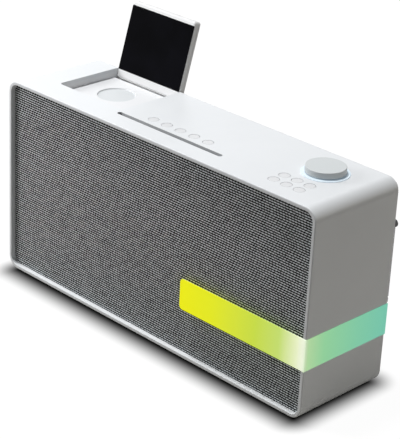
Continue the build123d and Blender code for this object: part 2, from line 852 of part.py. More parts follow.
# Disc mechanism: a chassis with side walls, closed at the front by the clamp plate
roller_y = slot_y + path_half_width + 0.1 + roller_radius
roller_z = chassis_top_z - 4.2
drive_base_z = chassis_base_z + chassis_sheet + drive_plate_gap
drive_z = drive_base_z + drive_plate_height / 2
drive_front_y = cavity_back_y + 4.0
drive_back_y = drive_front_y + chassis_sheet
guide_bar_y = drive_back_y + guide_bar_gap
wall_back_y = guide_bar_y + chassis_sheet
guide_spots = [
    (x * (drive_plate_width / 2 - guide_pin_inset), drive_z + z * (drive_plate_height / 2 - guide_pin_inset))
    for x in (-1, 1)
    for z in (-1, 1)
]
with BuildPart() as cd_chassis:
    with BuildSketch(facing_front(cavity_back_y + chassis_sheet)):
        with Locations((0, (chassis_base_z + chassis_top_z) / 2)):
            Rectangle(2 * chassis_half, chassis_top_z - chassis_base_z)
        with Locations((0, drive_z)):
            Rectangle(drive_plate_width + 2 * drive_window_gap, drive_plate_height + 2 * drive_window_gap,
                      mode=Mode.SUBTRACT)
        with Locations((0, roller_z)):
            Rectangle(2 * (disc_radius + disc_side_gap) - 1, roller_window - 2, mode=Mode.SUBTRACT)
    extrude(amount=chassis_sheet)
    with BuildSketch(facing_front(wall_back_y)):
        for side in (-1, 1):
            with Locations((side * (chassis_half - chassis_sheet / 2), (chassis_base_z + chassis_top_z) / 2)):
                Rectangle(chassis_sheet, chassis_top_z - chassis_base_z)
        with Locations((0, chassis_base_z + chassis_sheet / 2)):
            Rectangle(2 * chassis_half, chassis_sheet)
    extrude(amount=wall_back_y - cavity_front_y)
    # Guide bars behind the drive unit, each with two guide pins
    with BuildSketch(facing_front(guide_bar_y + chassis_sheet)):
        for x, z in guide_spots[:2]:
            with Locations((0, z)):
                Rectangle(2 * chassis_half, guide_bar_height)
    extrude(amount=chassis_sheet)
    with BuildSketch(facing_front(guide_bar_y + chassis_sheet)):
        with Locations(*guide_spots):
            Circle(guide_pin_radius)
    extrude(amount=guide_bar_y + chassis_sheet - drive_front_y + drive_lift + 0.4)
    # Bearing holes for the feed roller
    with BuildSketch(facing_right(-chassis_half - 1)):
        with Locations((roller_y, roller_z)):
            Circle(roller_shaft_radius + running_fit)
    extrude(amount=2 * chassis_half + 2, mode=Mode.SUBTRACT)
save(cd_chassis, "cd_chassis")

clamper_y = slot_y - path_half_width - 0.1
clamper_flange = chassis_sheet - clamper_play
with BuildPart() as cd_clamp_plate:
    with BuildSketch(facing_front(cavity_front_y)):
        with Locations((0, (chassis_base_z + chassis_top_z) / 2)):
            Rectangle(2 * chassis_half, chassis_top_z - chassis_base_z)
        with Locations((0, disc_z)):
            Circle(clamper_hub_radius + 0.3, mode=Mode.SUBTRACT)
    extrude(amount=chassis_sheet)
save(cd_clamp_plate, "cd_clamp_plate")

# Clamper: spins in the clamp plate's hole, with a flange on each side
with BuildPart() as disc_clamper:
    with BuildSketch(facing_front(clamper_y)):
        with Locations((0, disc_z)):
            Circle(clamper_radius)
    extrude(amount=clamper_y - cavity_front_y - clamper_play)
    with BuildSketch(facing_front(clamper_y)):
        with Locations((0, disc_z)):
            Circle(clamper_hub_radius)
    extrude(amount=clamper_y - clamp_front_y + clamper_play)
    with BuildSketch(facing_front(clamp_front_y - clamper_play)):
        with Locations((0, disc_z)):
            Circle(clamper_radius)
    extrude(amount=1.2)
    with BuildSketch(facing_front(clamper_y)):
        with Locations((0, disc_z)):
            Circle(turntable_boss_radius + 0.3)
    extrude(amount=turntable_boss_height + 0.4, mode=Mode.SUBTRACT)
save(disc_clamper, "disc_clamper")

# Feed roller: a steel shaft with two rubber cones, turned by a geared motor
roller_end_x = disc_radius - 1
with BuildPart() as feed_roller_shaft:
    with BuildSketch(facing_right(-chassis_half - 1.5)):
        with Locations((roller_y, roller_z)):
            Circle(roller_shaft_radius)
    extrude(amount=2 * chassis_half + 1.5 + motor_hole_depth - 0.3)
save(feed_roller_shaft, "feed_roller_shaft")

with BuildPart() as feed_roller_sleeves:
    for side in (-1, 1):
        with BuildSketch(Plane(origin=(0, roller_y, roller_z), x_dir=(1, 0, 0), z_dir=(0, 0, 1))):
            with BuildLine():
                Polyline(
                    (side * roller_middle_gap / 2, roller_shaft_radius),
                    (side * roller_middle_gap / 2, roller_waist_radius),
                    (side * roller_end_x, roller_radius),
                    (side * roller_end_x, roller_shaft_radius),
                    close=True,
                )
            make_face()
        revolve(axis=Axis((0, roller_y, roller_z), (1, 0, 0)))
save(feed_roller_sleeves, "feed_roller_sleeves")

with BuildPart() as feed_motor:
    with BuildSketch(facing_right(chassis_half)):
        with Locations((roller_y, roller_z)):
            Circle(feed_motor_radius)
    extrude(amount=feed_motor_length)
    fillet(feed_motor.faces().sort_by(Axis.X)[-1].edges(), 1)
    with BuildSketch(facing_right(chassis_half)):
        with Locations((roller_y, roller_z)):
            Circle(roller_shaft_radius + running_fit)
    extrude(amount=motor_hole_depth, mode=Mode.SUBTRACT)
save(feed_motor, "feed_motor")

# Drive unit: a plate on four guide pins that carries the spindle motor and the laser sled
rod_y = drive_back_y + 2.0
sled_top_z = disc_z - sled_first_radius + sled_height / 2
sled_low_z = sled_top_z - sled_height - sled_travel
rod_top_z = sled_top_z + rod_overrun
rod_base_z = drive_base_z
screw_x = lead_screw_offset
sled_motor_z = rod_top_z + sled_motor_rise
rod_xs = [-sled_rod_spacing / 2, sled_rod_spacing / 2]
with BuildPart() as drive_plate:
    with BuildSketch(facing_front(drive_back_y)):
        with Locations((0, drive_z)):
            Rectangle(drive_plate_width, drive_plate_height)
        with Locations((0, disc_z)):
            Circle(spindle_motor_radius + 0.1, mode=Mode.SUBTRACT)
        with Locations((0, (rod_base_z + 3 + sled_top_z + 1) / 2)):
            Rectangle(sled_window_width, sled_top_z - rod_base_z - 2, mode=Mode.SUBTRACT)
        with Locations(*guide_spots):
            Circle(guide_pin_radius + running_fit, mode=Mode.SUBTRACT)
        with Locations((screw_x, sled_motor_z + sled_motor_length / 2)):
            Rectangle(2 * sled_motor_radius + 0.8, sled_motor_length + 1, mode=Mode.SUBTRACT)
    extrude(amount=chassis_sheet)
    # End blocks for the rods and the lead screw, and the motor's bracket
    for low_z, high_z in ((rod_base_z, rod_base_z + rod_block_height), (rod_top_z - rod_block_height, rod_top_z)):
        with BuildSketch(facing_front(rod_y + 2.2)):
            for x in rod_xs:
                with Locations((x, (low_z + high_z) / 2)):
                    Rectangle(rod_block_width, high_z - low_z)
        extrude(amount=rod_y + 2.2 - drive_back_y)
    with BuildSketch(facing_front(rod_y + 2.2)):
        with Locations((screw_x, rod_base_z + rod_block_height / 2)):
            Rectangle(rod_block_width, rod_block_height)
        with Locations((screw_x, sled_motor_z - rod_block_height / 2)):
            Rectangle(motor_bracket_width, rod_block_height)
    extrude(amount=rod_y + 2.2 - drive_back_y)
    with BuildSketch(level(rod_base_z - 1)):
        with Locations(*[(x, rod_y) for x in rod_xs]):
            Circle(sled_rod_radius + screw_fit)
    extrude(amount=rod_top_z - rod_base_z + 2, mode=Mode.SUBTRACT)
    with BuildSketch(level(rod_base_z - 1)):
        with Locations((screw_x, rod_y)):
            Circle(lead_screw_radius + running_fit)
    extrude(amount=sled_motor_z - rod_base_z + 2, mode=Mode.SUBTRACT)
save(drive_plate, "drive_plate")

with BuildPart() as sled_rods:
    with BuildSketch(level(rod_base_z)):
        with Locations(*[(x, rod_y) for x in rod_xs]):
            Circle(sled_rod_radius)
    extrude(amount=rod_top_z - rod_base_z)
save(sled_rods, "sled_rods")

with BuildPart() as laser_sled:
    sled_mid_z = sled_top_z - sled_height / 2
    with BuildSketch(facing_front(rod_y + 0.3 + sled_depth / 2)):
        with Locations((0, sled_mid_z)):
            RectangleRounded(sled_width, sled_height, 1)
        with Locations((screw_x - sled_nut_width / 4.5, sled_mid_z)):
            Rectangle(sled_nut_width, sled_nut_height)
    extrude(amount=sled_depth)
    tower_front_y = drive_front_y - tower_reach
    with BuildSketch(facing_front(rod_y)):
        with Locations((0, sled_mid_z)):
            RectangleRounded(tower_width, tower_height, 1)
    extrude(amount=rod_y - tower_front_y)
    with BuildSketch(facing_front(tower_front_y)):
        with Locations((0, sled_mid_z)):
            Circle(lens_radius)
    extrude(amount=0.6)
    fillet(laser_sled.faces().sort_by(Axis.Y)[0].edges(), 0.5)
    with BuildSketch(level(sled_top_z - sled_height - 1)):
        with Locations(*[(x, rod_y) for x in rod_xs + [screw_x]]):
            Circle(sled_rod_radius + running_fit)
    extrude(amount=sled_height + 2, mode=Mode.SUBTRACT)
save(laser_sled, "laser_sled")

with BuildPart() as lead_screw:
    with BuildSketch(level(rod_base_z)):
        with Locations((screw_x, rod_y)):
            Circle(lead_screw_radius)
    extrude(amount=sled_motor_z + motor_hole_depth - 0.3 - rod_base_z)
save(lead_screw, "lead_screw")

with BuildPart() as sled_motor:
    with BuildSketch(level(sled_motor_z)):
        with Locations((screw_x, rod_y)):
            Circle(sled_motor_radius)
    extrude(amount=sled_motor_length)
    fillet(sled_motor.faces().sort_by(Axis.Z)[-1].edges(), 1)
    with BuildSketch(level(sled_motor_z)):
        with Locations((screw_x, rod_y)):
            Circle(lead_screw_radius + running_fit)
    extrude(amount=motor_hole_depth, mode=Mode.SUBTRACT)
save(sled_motor, "sled_motor")

flange_front_y = drive_front_y - spindle_flange_thickness
turntable_back_y = flange_front_y - 0.4
turntable_front_y = turntable_back_y - turntable_thickness
with BuildPart() as spindle_motor:
    with BuildSketch(facing_front(drive_front_y)):
        with Locations((0, disc_z)):
            Circle(spindle_flange_radius)
    extrude(amount=spindle_flange_thickness)
    with BuildSketch(facing_front(drive_front_y + spindle_motor_depth)):
        with Locations((0, disc_z)):
            Circle(spindle_motor_radius)
    extrude(amount=spindle_motor_depth)
    with BuildSketch(facing_front(flange_front_y)):
        with Locations((0, disc_z)):
            Circle(spindle_shaft_radius)
    extrude(amount=flange_front_y - turntable_front_y + turntable_boss_height)
save(spindle_motor, "spindle_motor")

with BuildPart() as turntable:
    with BuildSketch(facing_front(turntable_back_y)):
        with Locations((0, disc_z)):
            Circle(turntable_radius)
            Circle(spindle_shaft_radius + running_fit, mode=Mode.SUBTRACT)
    extrude(amount=turntable_thickness)
    with BuildSketch(facing_front(turntable_front_y)):
        with Locations((0, disc_z)):
            Circle(turntable_boss_radius)
            Circle(spindle_shaft_radius + running_fit, mode=Mode.SUBTRACT)
    extrude(amount=turntable_boss_height)
save(turntable, "turntable")

# Loudspeakers, each made at its place: profiles are radius against depth, revolved about the cone's axis
flange_back_y = baffle_back_y + speaker_flange_thickness
basket_back_y = baffle_back_y + speaker_depth
roll_inner = cone_radius
roll_outer = cone_radius + roll_width
rim_front_y = baffle_back_y - cone_sheet
coil_front_y = rim_front_y + cone_depth


def speaker_plane(x):
    """Half-section plane of the loudspeaker at x: local x is the radius, local y is the depth."""
    return Plane(origin=(x, 0, speaker_z), x_dir=(1, 0, 0), z_dir=(0, 0, 1))


def speaker_axis(x):
    return Axis((x, 0, speaker_z), (0, 1, 0))


def speaker_basket(x):
    with BuildPart() as basket:
        with BuildSketch(speaker_plane(x)):
            with BuildLine():
                Polyline(
                    (roll_outer, baffle_back_y),
                    (speaker_flange_radius, baffle_back_y),
                    (speaker_flange_radius, flange_back_y),
                    (roll_outer + basket_sheet, flange_back_y),
                    (basket_neck_radius + basket_sheet, basket_back_y - basket_sheet),
                    (basket_neck_radius + basket_sheet, basket_back_y),
                    (coil_radius + coil_wall + coil_gap, basket_back_y),
                    (coil_radius + coil_wall + coil_gap, basket_back_y - basket_sheet),
                    (basket_neck_radius, basket_back_y - basket_sheet),
                    close=True,
                )
            make_face()
        revolve(axis=speaker_axis(x))
        # Windows between the spokes
        window_depth = basket_back_y - flange_back_y - 2 * basket_sheet - 3
        window_y = (basket_back_y + flange_back_y) / 2
        for turn in range(basket_spokes):
            spoke_turn = math.radians(turn * 360 / basket_spokes)
            outward = (math.cos(spoke_turn), 0, math.sin(spoke_turn))
            with BuildSketch(Plane(origin=(x, window_y, speaker_z), x_dir=(0, 1, 0), z_dir=outward)):
                RectangleRounded(window_depth, basket_neck_radius * 1.3, 2)
            extrude(amount=speaker_flange_radius, mode=Mode.SUBTRACT)
        with BuildSketch(facing_front(flange_back_y)):
            with Locations((x, speaker_z)):
                with PolarLocations(speaker_screw_ring, speaker_screw_count, start_angle=45):
                    Circle(speaker_screw_radius + screw_clear)
        extrude(amount=speaker_flange_thickness, mode=Mode.SUBTRACT)
    return basket


cap_edge = coil_radius - coil_wall / 2
cap_radius = (cap_edge**2 + dust_cap_height**2) / (2 * dust_cap_height)
cap_centre_y = coil_front_y - dust_cap_height + cap_radius


def cap_point(radius, r):
    """Point of the dust cap's dome at r from the axis."""
    return (r, cap_centre_y - math.sqrt(radius**2 - r**2))


def speaker_cone(x):
    dome = cap_radius + cone_sheet
    with BuildPart() as cone:
        with BuildSketch(speaker_plane(x)):
            with BuildLine():
                Polyline(
                    (cone_radius, rim_front_y),
                    (cone_radius, rim_front_y + cone_sheet),
                    (cone_radius - cone_rim, rim_front_y + cone_sheet),
                    (coil_radius + coil_wall / 2, coil_front_y + cone_sheet),
                    (coil_radius + coil_wall / 2, basket_back_y + coil_depth),
                    (cap_edge, basket_back_y + coil_depth),
                    (cap_edge, coil_front_y),
                )
                ThreePointArc((cap_edge, coil_front_y), cap_point(cap_radius, cap_edge / 2), cap_point(cap_radius, 0))
                Line(cap_point(cap_radius, 0), cap_point(dome, 0))
                ThreePointArc(cap_point(dome, 0), cap_point(dome, cap_edge / 2), cap_point(dome, coil_radius))
                Line(cap_point(dome, coil_radius), (cone_radius - cone_rim, rim_front_y))
                Line((cone_radius - cone_rim, rim_front_y), (cone_radius, rim_front_y))
            make_face()
        revolve(axis=speaker_axis(x))
    return cone


def speaker_surround(x):
    middle = (roll_inner + roll_outer) / 2
    roll_front_y = rim_front_y - roll_width / 2
    with BuildPart() as surround:
        with BuildSketch(speaker_plane(x)):
            with BuildLine():
                ThreePointArc((roll_inner, rim_front_y), (middle, roll_front_y), (roll_outer, rim_front_y))
                Polyline(
                    (roll_outer, rim_front_y),
                    (speaker_hole_radius - 0.2, rim_front_y),
                    (speaker_hole_radius - 0.2, baffle_back_y),
                    (roll_outer - roll_sheet, baffle_back_y),
                    (roll_outer - roll_sheet, rim_front_y),
                )
                ThreePointArc(
                    (roll_outer - roll_sheet, rim_front_y),
                    (middle, roll_front_y + roll_sheet),
                    (roll_inner + roll_sheet, rim_front_y),
                )
                Polyline(
                    (roll_inner + roll_sheet, rim_front_y),
                    (roll_inner + roll_sheet, baffle_back_y),
                    (roll_inner, baffle_back_y),
                    (roll_inner, rim_front_y),
                )
            make_face()
        revolve(axis=speaker_axis(x))
    return surround


def speaker_magnet(x):
    with BuildPart() as magnet:
        with BuildSketch(facing_front(basket_back_y + magnet_length)):
            with Locations((x, speaker_z)):
                Circle(magnet_radius)
        extrude(amount=magnet_length)
        fillet(magnet.faces().sort_by(Axis.Y)[-1].edges(), 1.5)
        with BuildSketch(facing_front(basket_back_y + magnet_groove_depth)):
            with Locations((x, speaker_z)):
                Circle(coil_radius + coil_wall / 2 + coil_gap)
                Circle(coil_radius - coil_wall / 2 - coil_gap, mode=Mode.SUBTRACT)
        extrude(amount=magnet_groove_depth, mode=Mode.SUBTRACT)
    return magnet


for side, x in (("left", -speaker_x), ("right", speaker_x)):
    save(speaker_basket(x), f"speaker_basket_{side}")
    save(speaker_cone(x), f"speaker_cone_{side}")
    save(speaker_surround(x), f"speaker_surround_{side}")
    save(speaker_magnet(x), f"speaker_magnet_{side}")

with BuildPart() as speaker_screws:
    for spot in speaker_spots:
        with BuildSketch(facing_front(flange_back_y + 1.5)):
            with Locations(spot):
                with PolarLocations(speaker_screw_ring, speaker_screw_count, start_angle=45):
                    Circle(speaker_screw_head)
        extrude(amount=1.5)
        with BuildSketch(facing_front(flange_back_y)):
            with Locations(spot):
                with PolarLocations(speaker_screw_ring, speaker_screw_count, start_angle=45):
                    Circle(speaker_screw_radius)
        extrude(amount=speaker_screw_length)
save(speaker_screws, "speaker_screws")

# Main board on the cover's posts, with its larger components
board_back_y = cover_front_y - main_board_gap
with BuildPart() as main_board:
    with BuildSketch(facing_front(board_back_y)):
        with Locations((0, main_board_z)):
            RectangleRounded(main_board_width, main_board_height, 2)
    extrude(amount=board_thickness)
    component_base_y = board_back_y - board_thickness
    # Components in steps of the board's layout grid: place, size and height
    components = ((-15, 12, 8, 8, 0.8), (6, 13, 10, 7, 0.8), (-17, -7, 12, 9, 1.5), (10, -10, 15, 11, 4.5))
    for x, z, width, height, depth in components:
        with BuildSketch(facing_front(component_base_y)):
            with Locations((x * board_grid, main_board_z + z * board_grid)):
                Rectangle(width * board_grid, height * board_grid)
        extrude(amount=depth * board_grid)
    with BuildSketch(facing_front(component_base_y)):
        with Locations(*[(-2 * board_grid, main_board_z - steps * board_grid) for steps in (7, 15)]):
            Circle(2 * board_grid)
    extrude(amount=5.5 * board_grid)
save(main_board, "main_board")

# Power supply on the cabinet floor
supply_y = front_y + supply_inset + supply_depth / 2
supply_board_z = floor_z + supply_board_lift
with BuildPart() as power_supply:
    with BuildSketch(level(floor_z)):
        with Locations((supply_x, supply_y)):
            with GridLocations(supply_width - 2 * supply_post_inset, supply_depth - 2 * supply_post_inset, 2, 2):
                Circle(supply_post_radius)
    extrude(amount=supply_board_lift)
    with BuildSketch(level(supply_board_z)):
        with Locations((supply_x, supply_y)):
            Rectangle(supply_width, supply_depth)
    extrude(amount=board_thickness)
    with BuildSketch(level(supply_board_z + board_thickness)):
        with Locations((supply_x - supply_width / 6, supply_y)):
            Rectangle(transformer_width, supply_depth - supply_post_inset)
    extrude(amount=transformer_height)
    with BuildSketch(level(supply_board_z + board_thickness)):
        can_left_x = supply_x - supply_width / 2 + supply_edge_gap + supply_can_radius
        with Locations((supply_x + supply_width / 7, supply_y), (can_left_x, supply_y)):
            Circle(supply_can_radius)
    extrude(amount=supply_can_height)
    with BuildSketch(level(supply_board_z + board_thickness)):
        with Locations((supply_x + supply_width / 2 - heat_sink_inset, supply_y)):
            Rectangle(heat_sink_width, supply_depth - 2 * supply_post_inset)
    extrude(amount=heat_sink_height)
save(power_supply, "power_supply")

# Mains inlet: a figure-of-eight recess with two pins
inlet_front_y = bore_y - inlet_depth
with BuildPart() as mains_inlet:
    with BuildSketch(facing_front(bore_y)):
        with Locations((inlet_x, inlet_z)):
            RectangleRounded(inlet_width + 2 * wall - 1.2, inlet_height + 2 * wall - 1.2, 1.9)
    extrude(amount=inlet_depth + 1.5)
    with BuildSketch(facing_front(cover_front_y)):
        with Locations((inlet_x, inlet_z)):
            Rectangle(inlet_width + 3 * wall, inlet_height + 3 * wall)
    extrude(amount=cover_front_y - inlet_front_y + 1.5)
    with BuildSketch(facing_front(bore_y)):
        with Locations((inlet_x, inlet_z)):
            SlotOverall(inlet_width, inlet_height)
    extrude(amount=inlet_depth, mode=Mode.SUBTRACT)
    with BuildSketch(facing_front(inlet_front_y + inlet_pin_length)):
        with Locations((inlet_x, inlet_z)):
            with GridLocations(inlet_pin_spacing, 0, 2, 1):
                Circle(inlet_pin_radius)
    extrude(amount=inlet_pin_length + 1)
save(mains_inlet, "mains_inlet")

# Line-in jack
with BuildPart() as audio_jack:
    with BuildSketch(facing_front(bore_y)):
        with Locations((jack_x, jack_z)):
            Circle(jack_collar_radius)
    extrude(amount=bore_y - cover_front_y)
    with BuildSketch(facing_front(cover_front_y)):
        with Locations((jack_x, jack_z)):
            Rectangle(jack_body_side, jack_body_side)
    extrude(amount=jack_bore_depth + 1)
    with BuildSketch(facing_front(bore_y)):
        with Locations((jack_x, jack_z)):
            Circle(jack_bore_radius)
    extrude(amount=jack_bore_depth, mode=Mode.SUBTRACT)
save(audio_jack, "audio_jack")

# Aerial: a knuckle that turns in the rear cover, and three sections that slide in each other
aerial_y = cover_back_y + aerial_stand
knuckle_front_y = cover_back_y + 0.3
knuckle_back_y = aerial_y + lug_radius + 0.3
tube_top_z = aerial_z - knuckle_radius - 0.6
tip_base_z = aerial_z - aerial_length
tip_top_z = tip_base_z + tip_button_length
middle_base_z = tip_top_z
tube_base_z = middle_base_z + section_step
with BuildPart() as aerial_knuckle:
    with BuildSketch(facing_front(knuckle_back_y)):
        with Locations((aerial_x, aerial_z)):
            Circle(knuckle_radius)
    extrude(amount=knuckle_back_y - knuckle_front_y)
    with BuildSketch(facing_right(aerial_x - knuckle_slot / 2)):
        with Locations(((aerial_y - lug_radius - 0.3 + knuckle_back_y + 1) / 2,
                        aerial_z - knuckle_radius / 2 + lug_radius / 2)):
            Rectangle(knuckle_back_y + 1 - aerial_y + lug_radius + 0.3, knuckle_radius + lug_radius + 0.8)
    extrude(amount=knuckle_slot, mode=Mode.SUBTRACT)
    with BuildSketch(facing_right(aerial_x - knuckle_radius + 0.4)):
        with Locations((aerial_y, aerial_z)):
            Circle(knuckle_pin_radius)
    extrude(amount=2 * knuckle_radius - 0.8)
    # Stub that turns in the cover, with a collar behind it
    stub_front_y = cover_front_y - stub_bush_length
    with BuildSketch(facing_front(knuckle_front_y)):
        with Locations((aerial_x, aerial_z)):
            Circle(stub_radius)
    extrude(amount=knuckle_front_y - stub_front_y + 1.2)
    with BuildSketch(facing_front(stub_front_y - 0.2)):
        with Locations((aerial_x, aerial_z)):
            Circle(stub_radius + 1)
    extrude(amount=1)
save(aerial_knuckle, "aerial_knuckle")

with BuildPart() as aerial_tube:
    with BuildSketch(level(tube_base_z)):
        with Locations((aerial_x, aerial_y)):
            Circle(tube_radius)
    extrude(amount=tube_top_z - tube_base_z)
    with BuildSketch(level(tube_base_z)):
        with Locations((aerial_x, aerial_y)):
            Circle(tube_bore)
    extrude(amount=tube_top_z - tube_base_z - 2.4, mode=Mode.SUBTRACT)
    with BuildSketch(facing_right(aerial_x - lug_width / 2)):
        with Locations((aerial_y, (aerial_z + tube_top_z - 1) / 2)):
            Rectangle(2 * lug_radius, aerial_z - tube_top_z + 1)
        with Locations((aerial_y, aerial_z)):
            Circle(lug_radius)
    extrude(amount=lug_width)
    with BuildSketch(facing_right(aerial_x - knuckle_radius)):
        with Locations((aerial_y, aerial_z)):
            Circle(knuckle_pin_radius + running_fit)
    extrude(amount=2 * knuckle_radius, mode=Mode.SUBTRACT)
save(aerial_tube, "aerial_tube")

with BuildPart() as aerial_middle_section:
    middle_top_z = tube_top_z - 3.4
    with BuildSketch(level(middle_base_z)):
        with Locations((aerial_x, aerial_y)):
            Circle(middle_radius)
    extrude(amount=middle_top_z - middle_base_z)
    with BuildSketch(level(middle_base_z)):
        with Locations((aerial_x, aerial_y)):
            Circle(middle_bore)
    extrude(amount=middle_top_z - middle_base_z - 2, mode=Mode.SUBTRACT)
save(aerial_middle_section, "aerial_middle_section")

with BuildPart() as aerial_tip_section:
    with BuildSketch(level(tip_base_z)):
        with Locations((aerial_x, aerial_y)):
            Circle(tube_radius)
    extrude(amount=tip_button_length)
    fillet(aerial_tip_section.edges(), 0.8)
    with BuildSketch(level(tip_base_z + 1)):
        with Locations((aerial_x, aerial_y)):
            Circle(tip_radius)
    extrude(amount=middle_top_z - 3 - tip_base_z - 1)
save(aerial_tip_section, "aerial_tip_section")

# Printed band: lies on the front lip, crosses the grille's recess, and wraps round to the right side
with BuildPart() as corner_band:
    with BuildSketch(facing_front(front_y)):
        front_run = side_x + band_thickness - band_left_x
        with Locations((band_left_x + front_run / 2, band_base_z + band_height / 2)):
            RectangleRounded(front_run, band_height, band_corner_radius)
        with Locations((side_x + band_thickness - band_corner_radius, band_base_z + band_height / 2)):
            Rectangle(2 * band_corner_radius, band_height)
    extrude(amount=band_thickness)
    with BuildSketch(facing_right(side_x)):
        with Locations((middle_y - band_thickness / 2, band_base_z + band_height / 2)):
            Rectangle(cabinet_depth + band_thickness, band_height)
    extrude(amount=band_thickness)
save(corner_band, "corner_band")
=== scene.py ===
import math

import bmesh
import bpy
from mathutils import Matrix, Vector


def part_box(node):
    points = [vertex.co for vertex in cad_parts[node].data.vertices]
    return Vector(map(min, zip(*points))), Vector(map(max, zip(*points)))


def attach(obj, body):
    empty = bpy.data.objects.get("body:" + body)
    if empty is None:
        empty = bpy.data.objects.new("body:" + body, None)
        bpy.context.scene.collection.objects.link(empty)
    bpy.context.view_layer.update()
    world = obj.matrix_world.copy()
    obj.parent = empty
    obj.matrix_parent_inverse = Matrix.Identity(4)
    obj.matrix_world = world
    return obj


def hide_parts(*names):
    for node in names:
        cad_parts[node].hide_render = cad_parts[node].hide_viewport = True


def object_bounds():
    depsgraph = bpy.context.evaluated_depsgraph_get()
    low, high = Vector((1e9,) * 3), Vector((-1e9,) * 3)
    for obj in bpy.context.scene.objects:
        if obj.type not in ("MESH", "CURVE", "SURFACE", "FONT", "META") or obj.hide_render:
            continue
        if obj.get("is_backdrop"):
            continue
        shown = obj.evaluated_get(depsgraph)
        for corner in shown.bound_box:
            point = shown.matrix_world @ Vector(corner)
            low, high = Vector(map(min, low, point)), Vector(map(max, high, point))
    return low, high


# Looks for an all-in-one stereo system. Metres, +Z up, front faces -Y, as in the CAD model.

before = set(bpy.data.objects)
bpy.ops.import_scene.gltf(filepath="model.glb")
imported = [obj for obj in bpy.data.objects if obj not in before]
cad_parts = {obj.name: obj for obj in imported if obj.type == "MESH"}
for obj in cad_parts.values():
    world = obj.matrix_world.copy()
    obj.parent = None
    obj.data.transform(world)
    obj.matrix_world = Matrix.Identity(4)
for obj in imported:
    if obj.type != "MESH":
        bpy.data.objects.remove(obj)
cad_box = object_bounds()
scene = bpy.context.scene
MM = 0.001

# The middle of the round dish in the display's bay, and how far out the dish's painted shade is
# measured
DISH_X = -0.109
DISH_Y = 0.0035
DISH_SPAN = 20 * MM

# The band's colours run along x + y, from its left end on the front to its end at the back
BAND_START = -0.0169
BAND_END = 0.2184

# Pitches of the weave in millimetres: from rib to rib, and from stitch to stitch along a rib
RIB_PITCH = 2.1
STITCH_PITCH = 3.1

# The cloth's corners and thickness, and the steps of its rolled edge as widths and rises
CLOTH_CORNER = 7.7 * MM
CLOTH_THICKNESS = 0.18 * MM
CLOTH_ROLL = ((0.25 * MM, 0.12 * MM), (0.5 * MM, 0.08 * MM), (1.2 * MM, 0.02 * MM))

# The shade at the cabinet's foot: for x and y, how far inside the cabinet's outline it begins and
# how steeply it fades, and then how far it reaches
SHADE_EDGES = ((0, 10.5 * MM, 1.15), (1, 4.6 * MM, 1.0))
SHADE_REACH = 30.0 * MM

# The floor as it is seen: half its side, its own glow, and the part that the lamps light
FLOOR_REACH = 6.0
FLOOR_GLOW = 0.97
FLOOR_LIT = 0.05


# Camera, at the photograph's angle
def photograph_camera():
    """A long lens from the front right, slightly rolled, as the photograph was taken."""
    place = Vector((0.89568, -0.91510, 0.67798))
    right = Vector((0.70053810, 0.71214562, 0.04577092)).normalized()
    forward = Vector((-0.63546847, 0.65172252, -0.41405022)).normalized()
    up = right.cross(forward).normalized()
    turn = Matrix((right, up, -forward)).transposed()
    data = bpy.data.cameras.new("photograph_camera")
    data.lens = 136.1
    data.sensor_width = 36.0
    data.sensor_fit = "AUTO"
    data.clip_end = 30.0
    camera = bpy.data.objects.new("photograph_camera", data)
    camera.matrix_world = Matrix.Translation(place) @ turn.to_4x4()
    scene.collection.objects.link(camera)
    scene.camera = camera


photograph_camera()
scene.view_settings.view_transform = "Standard"


# Small helpers for materials
def feed(tree, socket, value):
    """Wires an output to a socket, or sets the socket's own value."""
    if isinstance(value, bpy.types.NodeSocket):
        tree.links.new(value, socket)
    else:
        socket.default_value = value


def maths(tree, operation, *values):
    """Adds a Math node that takes outputs or numbers, and gives its output."""
    node = tree.nodes.new("ShaderNodeMath")
    node.operation = operation
    for socket, value in zip(node.inputs, values):
        feed(tree, socket, value)
    return node.outputs[0]


